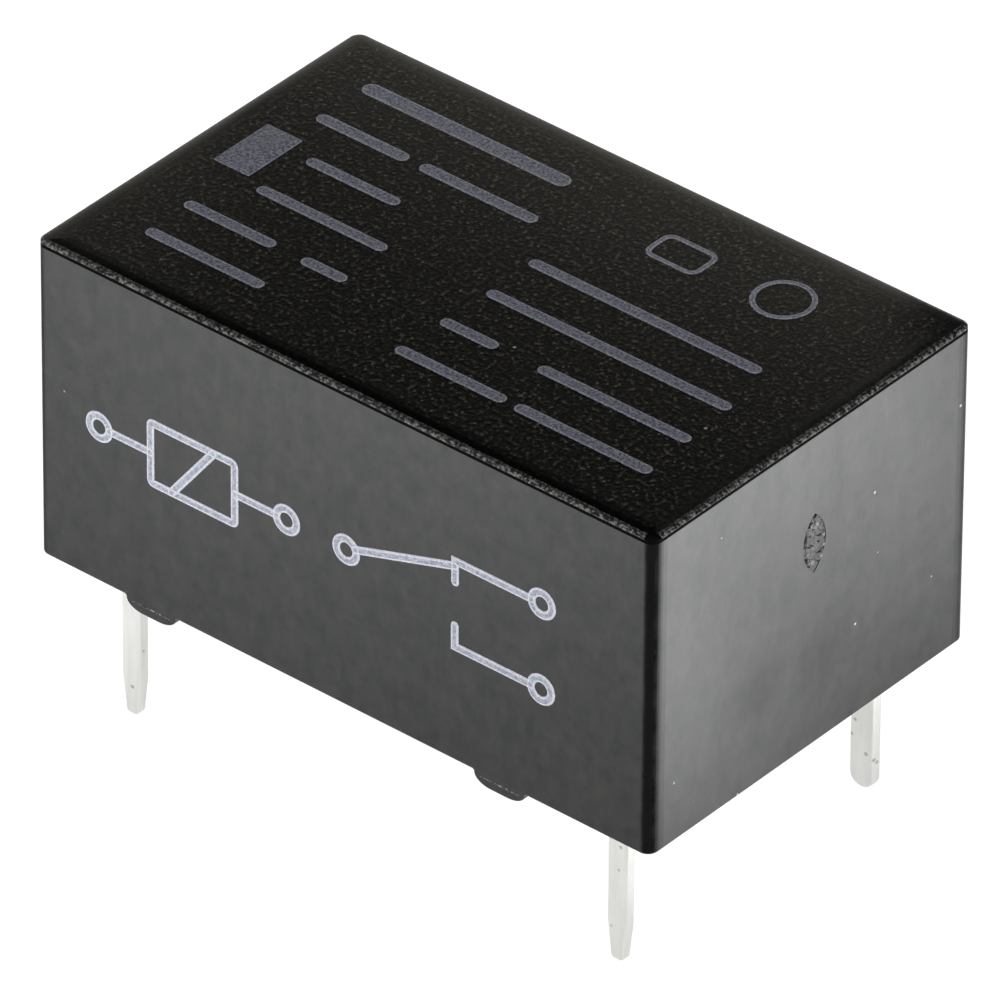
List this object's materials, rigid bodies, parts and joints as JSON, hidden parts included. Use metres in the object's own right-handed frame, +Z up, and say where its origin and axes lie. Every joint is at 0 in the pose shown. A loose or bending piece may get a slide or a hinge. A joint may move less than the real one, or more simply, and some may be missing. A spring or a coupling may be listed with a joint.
{
  "type": "miniature signal relay",
  "caption": "Sealed changeover relay for a circuit board: black rectangular cover on short feet, flat tinned pins below, coil, armature and leaf contacts inside.",
  "frame": {"origin": "centre of the bounding box in plan, at the plane of the pin tips", "axes": "+X along the body towards the end with the gate mark, -Y out of the front wall on the coil pins' side, +Z up through the top"},
  "size_m": [0.016, 0.0098, 0.0114],
  "materials": {
    "cover_plastic": "moulded black, satin sides, finely textured top",
    "base_plastic": "moulded black",
    "resin": "cast sealing resin, glossy",
    "bobbin_plastic": "moulded, natural",
    "card_plastic": "moulded, natural",
    "tinned_copper": "tin plated, satin",
    "enamelled_wire": "copper wire with clear enamel",
    "soft_iron": "annealed and plated",
    "steel_pin": "turned and polished",
    "magnet": "sintered",
    "shim_metal": "rolled shim",
    "spring_alloy": "rolled copper alloy",
    "silver_contact": "silver alloy, bright"
  },
  "bodies": {
    "housing": {"cover": "cover_plastic", "base": "base_plastic", "sealing_resin": "resin", "bobbin": "bobbin_plastic", "coil_winding": "enamelled_wire", "coil_lead_left": "enamelled_wire", "coil_lead_right": "enamelled_wire", "pivot_pin": "steel_pin", "yoke": "soft_iron", "front_pole_piece": "soft_iron", "rear_pole_piece": "soft_iron", "permanent_magnet": "magnet", "residual_plate": "shim_metal", "coil_terminal_left": "tinned_copper", "coil_terminal_right": "tinned_copper", "common_terminal": "tinned_copper", "normally_closed_terminal": "tinned_copper", "normally_open_terminal": "tinned_copper", "normally_closed_contact": "silver_contact", "normally_open_contact": "silver_contact"},
    "armature": {"armature": "soft_iron", "actuator_card": "card_plastic"},
    "contact_spring": {"contact_spring": "spring_alloy", "lower_opening_contact": "silver_contact", "upper_opening_contact": "silver_contact", "lower_closing_contact": "silver_contact", "upper_closing_contact": "silver_contact"}
  },
  "joints": [
    {"name": "armature_pivot", "type": "hinge", "parent": "housing", "child": "armature", "pos_m": [0.00585, -0.00191, 0.00809], "axis": [0, 0, -1], "range_deg": [0, 1.6], "stiffness_Nm_per_rad": 0.00005, "springref_deg": -2.86},
    {"name": "contact_flex", "type": "hinge", "parent": "housing", "child": "contact_spring", "pos_m": [0.00595, 0.00294, 0.00809], "axis": [0, 0, -1], "range_deg": [0, 1.6]}
  ],
  "couplings": [
    {"joint": "contact_flex", "follows": "armature_pivot", "ratio": 1}
  ]
}
